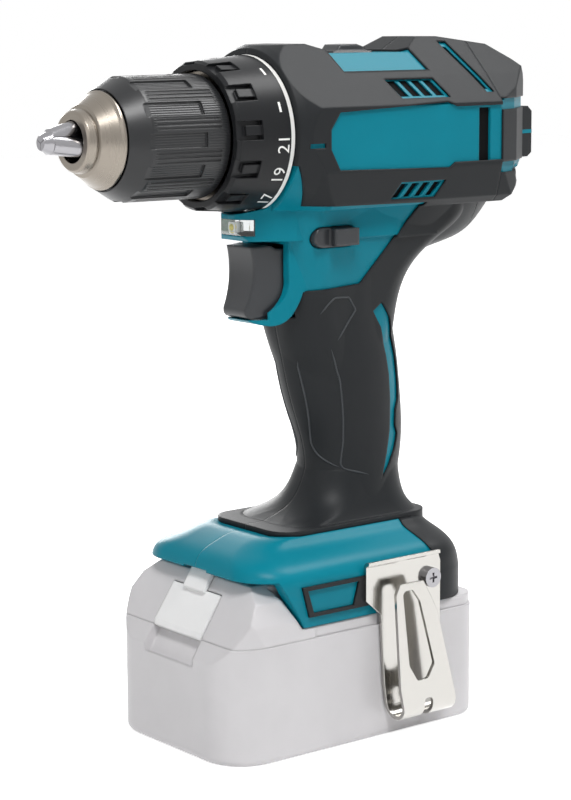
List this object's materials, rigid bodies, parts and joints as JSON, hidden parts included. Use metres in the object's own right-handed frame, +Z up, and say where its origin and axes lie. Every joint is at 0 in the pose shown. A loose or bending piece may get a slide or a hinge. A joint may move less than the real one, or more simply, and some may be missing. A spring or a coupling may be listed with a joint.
{
  "type": "cordless drill driver",
  "caption": "Pistol-grip cordless drill driver with a keyless three-jaw chuck, numbered torque ring, two-stage planetary gears, belt hook and slide-on battery.",
  "frame": {"origin": "middle of the battery's flat underside, below the grip", "axes": "+Z up, +X from the chuck to the rear along the spindle, -Y the side with the belt hook"},
  "size_m": [0.212, 0.0876, 0.249],
  "materials": {
    "teal_plastic": "moulded nylon, fine satin grain",
    "soft_grip": "matte overmoulded elastomer",
    "black_plastic": "fine matte grain",
    "nickel_steel": "satin nickel plate",
    "bright_steel": "ground steel",
    "gear_steel": "hardened steel",
    "gear_case_metal": "die-cast",
    "magnet": "sintered ferrite",
    "copper": "bare copper",
    "carbon": "carbon",
    "brass": "turned brass",
    "clear_lens": "clear polycarbonate",
    "board": "glass-fibre board",
    "battery_plastic": "pale satin nylon",
    "white_plastic": "white satin nylon",
    "cell_can": "sleeved cell, mean density of a lithium cell"
  },
  "bodies": {
    "housing": {"housing_left": "teal_plastic", "housing_right": "teal_plastic", "grip_left": "soft_grip", "grip_right": "soft_grip", "rear_cover": "teal_plastic", "rear_skin": "soft_grip", "rear_bumper": "soft_grip", "lamp_lens": "clear_lens", "lamp_board": "board", "housing_screws": "bright_steel", "spindle_bearings": "bright_steel", "gear_case": "gear_case_metal", "ring_retainer": "nickel_steel", "clutch_spring": "bright_steel", "clutch_ring_gear": "gear_steel", "motor_plate": "gear_case_metal", "motor_bearings": "bright_steel", "motor_yoke": "gear_steel", "motor_magnets": "magnet", "brush_holder": "black_plastic", "carbon_brushes": "carbon", "switch_body": "black_plastic", "trigger_spring": "bright_steel", "terminal_block": "black_plastic", "badge_frame": "black_plastic", "hook_inserts": "brass", "belt_hook": "nickel_steel", "hook_screw": "bright_steel"},
    "spindle": {"spindle": "gear_steel", "chuck_body": "gear_steel", "chuck_nose": "nickel_steel", "chuck_screw": "gear_steel", "output_carrier": "gear_steel"},
    "chuck_sleeve": {"chuck_sleeve": "black_plastic", "chuck_nut": "gear_steel"},
    "input_carrier": {"input_carrier": "gear_steel"},
    "rotor": {"armature_shaft": "gear_steel", "armature_core": "gear_steel", "commutator": "copper", "cooling_fan": "black_plastic"},
    "torque_ring": {"torque_ring": "black_plastic"},
    "clutch_nut": {"clutch_nut": "black_plastic"},
    "speed_lever": {"speed_lever": "black_plastic", "shift_ring": "gear_steel"},
    "direction_lever": {"direction_lever": "black_plastic"},
    "trigger": {"trigger": "black_plastic"},
    "battery": {"battery_case": "battery_plastic", "battery_cover": "battery_plastic", "battery_cells": "cell_can", "battery_board": "board"},
    "release_button": {"release_button": "white_plastic"},
    "jaw_1": {"chuck_jaw_1": "bright_steel"},
    "jaw_2": {"chuck_jaw_2": "bright_steel"},
    "jaw_3": {"chuck_jaw_3": "bright_steel"},
    "output_planet_1": {"output_planet_1": "gear_steel"},
    "output_planet_2": {"output_planet_2": "gear_steel"},
    "output_planet_3": {"output_planet_3": "gear_steel"},
    "input_planet_1": {"input_planet_1": "gear_steel"},
    "input_planet_2": {"input_planet_2": "gear_steel"},
    "input_planet_3": {"input_planet_3": "gear_steel"}
  },
  "joints": [
    {"name": "spindle_spin", "type": "hinge", "parent": "housing", "child": "spindle", "pos_m": [-0.05, 0, 0.216], "axis": [1, 0, 0], "continuous": true},
    {"name": "input_carrier_spin", "type": "hinge", "parent": "housing", "child": "input_carrier", "pos_m": [0, 0, 0.216], "axis": [1, 0, 0], "continuous": true},
    {"name": "rotor_spin", "type": "hinge", "parent": "housing", "child": "rotor", "pos_m": [0.05, 0, 0.216], "axis": [1, 0, 0], "continuous": true},
    {"name": "sleeve_turn", "type": "hinge", "parent": "spindle", "child": "chuck_sleeve", "pos_m": [-0.06, 0, 0.216], "axis": [-1, 0, 0], "range_deg": [0, 2880]},
    {"name": "torque_ring_turn", "type": "hinge", "parent": "housing", "child": "torque_ring", "pos_m": [-0.03, 0, 0.216], "axis": [-1, 0, 0], "range_deg": [-30, 240]},
    {"name": "clutch_nut_slide", "type": "slide", "parent": "housing", "child": "clutch_nut", "axis": [-1, 0, 0], "range_m": [-0.00063, 0.005], "deforming": ["clutch_spring"]},
    {"name": "speed_slide", "type": "slide", "parent": "housing", "child": "speed_lever", "axis": [-1, 0, 0], "range_m": [0, 0.0045]},
    {"name": "direction_slide", "type": "slide", "parent": "housing", "child": "direction_lever", "axis": [0, 1, 0], "range_m": [-0.0035, 0.0035]},
    {"name": "trigger_pull", "type": "slide", "parent": "housing", "child": "trigger", "axis": [1, 0, 0], "range_m": [0, 0.007], "stiffness_N_per_m": 900, "springref_m": -0.002, "deforming": ["trigger_spring"]},
    {"name": "battery_slide", "type": "slide", "parent": "housing", "child": "battery", "axis": [-1, 0, 0], "range_m": [0, 0.11]},
    {"name": "release_press", "type": "slide", "parent": "battery", "child": "release_button", "axis": [-0.5379, 0, -0.843], "range_m": [0, 0.004], "stiffness_N_per_m": 1500, "springref_m": -0.002},
    {"name": "jaw_1_slide", "type": "slide", "parent": "spindle", "child": "jaw_1", "axis": [0.9659, 0, 0.2588], "range_m": [0, 0.0252]},
    {"name": "jaw_2_slide", "type": "slide", "parent": "spindle", "child": "jaw_2", "axis": [0.9659, -0.2241, -0.1294], "range_m": [0, 0.0252]},
    {"name": "jaw_3_slide", "type": "slide", "parent": "spindle", "child": "jaw_3", "axis": [0.9659, 0.2241, -0.1294], "range_m": [0, 0.0252]},
    {"name": "output_planet_1_spin", "type": "hinge", "parent": "spindle", "child": "output_planet_1", "pos_m": [-0.0057, 0.01155, 0.216], "axis": [1, 0, 0], "continuous": true},
    {"name": "output_planet_2_spin", "type": "hinge", "parent": "spindle", "child": "output_planet_2", "pos_m": [-0.0057, -0.00577, 0.226], "axis": [1, 0, 0], "continuous": true},
    {"name": "output_planet_3_spin", "type": "hinge", "parent": "spindle", "child": "output_planet_3", "pos_m": [-0.0057, -0.00577, 0.206], "axis": [1, 0, 0], "continuous": true},
    {"name": "input_planet_1_spin", "type": "hinge", "parent": "input_carrier", "child": "input_planet_1", "pos_m": [0.0063, 0.01365, 0.216], "axis": [1, 0, 0], "continuous": true},
    {"name": "input_planet_2_spin", "type": "hinge", "parent": "input_carrier", "child": "input_planet_2", "pos_m": [0.0063, -0.00683, 0.22782], "axis": [1, 0, 0], "continuous": true},
    {"name": "input_planet_3_spin", "type": "hinge", "parent": "input_carrier", "child": "input_planet_3", "pos_m": [0.0063, -0.00683, 0.20418], "axis": [1, 0, 0], "continuous": true}
  ],
  "couplings": [
    {"joint": "input_carrier_spin", "follows": "spindle_spin", "ratio": 5.5},
    {"joint": "rotor_spin", "follows": "spindle_spin", "ratio": 17.875},
    {"joint": "clutch_nut_slide", "follows": "torque_ring_turn", "m_per_rad": 0.0011937},
    {"joint": "jaw_1_slide", "follows": "sleeve_turn", "m_per_rad": 0.00050134},
    {"joint": "jaw_2_slide", "follows": "sleeve_turn", "m_per_rad": 0.00050134},
    {"joint": "jaw_3_slide", "follows": "sleeve_turn", "m_per_rad": 0.00050134},
    {"joint": "output_planet_1_spin", "follows": "spindle_spin", "ratio": -2.5714},
    {"joint": "output_planet_2_spin", "follows": "spindle_spin", "ratio": -2.5714},
    {"joint": "output_planet_3_spin", "follows": "spindle_spin", "ratio": -2.5714},
    {"joint": "input_planet_1_spin", "follows": "spindle_spin", "ratio": -19.8},
    {"joint": "input_planet_2_spin", "follows": "spindle_spin", "ratio": -19.8},
    {"joint": "input_planet_3_spin", "follows": "spindle_spin", "ratio": -19.8}
  ]
}
